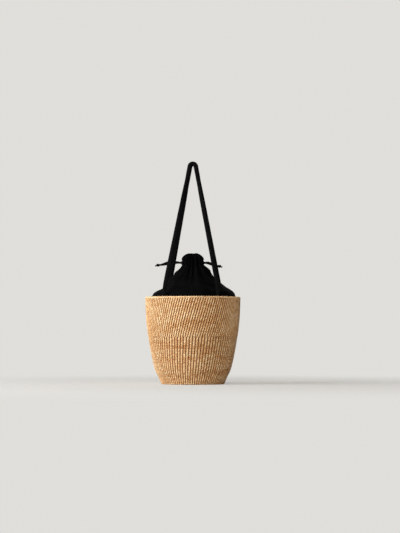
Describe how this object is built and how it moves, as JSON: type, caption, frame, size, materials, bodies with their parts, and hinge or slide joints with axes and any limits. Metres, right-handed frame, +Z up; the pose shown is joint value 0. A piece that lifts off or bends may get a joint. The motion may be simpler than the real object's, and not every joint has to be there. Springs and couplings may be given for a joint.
{
  "type": "drawstring basket bag",
  "caption": "Twined bucket-shaped basket with a black cloth lining drawn shut over its mouth and two long cloth carrying handles.",
  "frame": {"origin": "middle of the flat underside of the woven base", "axes": "+Z up along the basket's axis, -Y towards the front, +X to the right seen from the front"},
  "size_m": [0.2432, 0.2432, 0.5634],
  "materials": {
    "straw": "natural twined sisal, matt",
    "lining": "plain black cotton, matt",
    "strap": "sewn black cotton tube, matt",
    "cord": "soft black cotton cord"
  },
  "bodies": {
    "bag": {"basket_base": "straw", "basket_wall_lower": "straw", "basket_wall_upper": "straw", "basket_rim": "straw", "lining_bottom": "lining", "lining_wall": "lining", "lining_skirt": "lining", "drawstring_casing": "lining", "gathered_frill": "lining", "front_left_tab": "strap", "front_right_tab": "strap", "back_left_tab": "strap", "back_right_tab": "strap"},
    "front_handle": {"front_handle": "strap"},
    "back_handle": {"back_handle": "strap"},
    "left_drawstring": {"left_string_front": "cord", "left_string_back": "cord", "left_knot": "cord"},
    "right_drawstring": {"right_string_front": "cord", "right_string_back": "cord", "right_knot": "cord"}
  },
  "joints": [
    {"name": "front_handle_swing", "type": "hinge", "parent": "bag", "child": "front_handle", "pos_m": [0, -0.09093, 0.2228], "axis": [1, 0, 0], "range_deg": [0, 100]},
    {"name": "back_handle_swing", "type": "hinge", "parent": "bag", "child": "back_handle", "pos_m": [0, 0.09093, 0.2228], "axis": [-1, 0, 0], "range_deg": [0, 100]},
    {"name": "left_drawstring_pull", "type": "slide", "parent": "bag", "child": "left_drawstring", "axis": [-1, 0, 0], "range_m": [0, 0.018]},
    {"name": "right_drawstring_pull", "type": "slide", "parent": "bag", "child": "right_drawstring", "axis": [1, 0, 0], "range_m": [0, 0.018]}
  ]
}
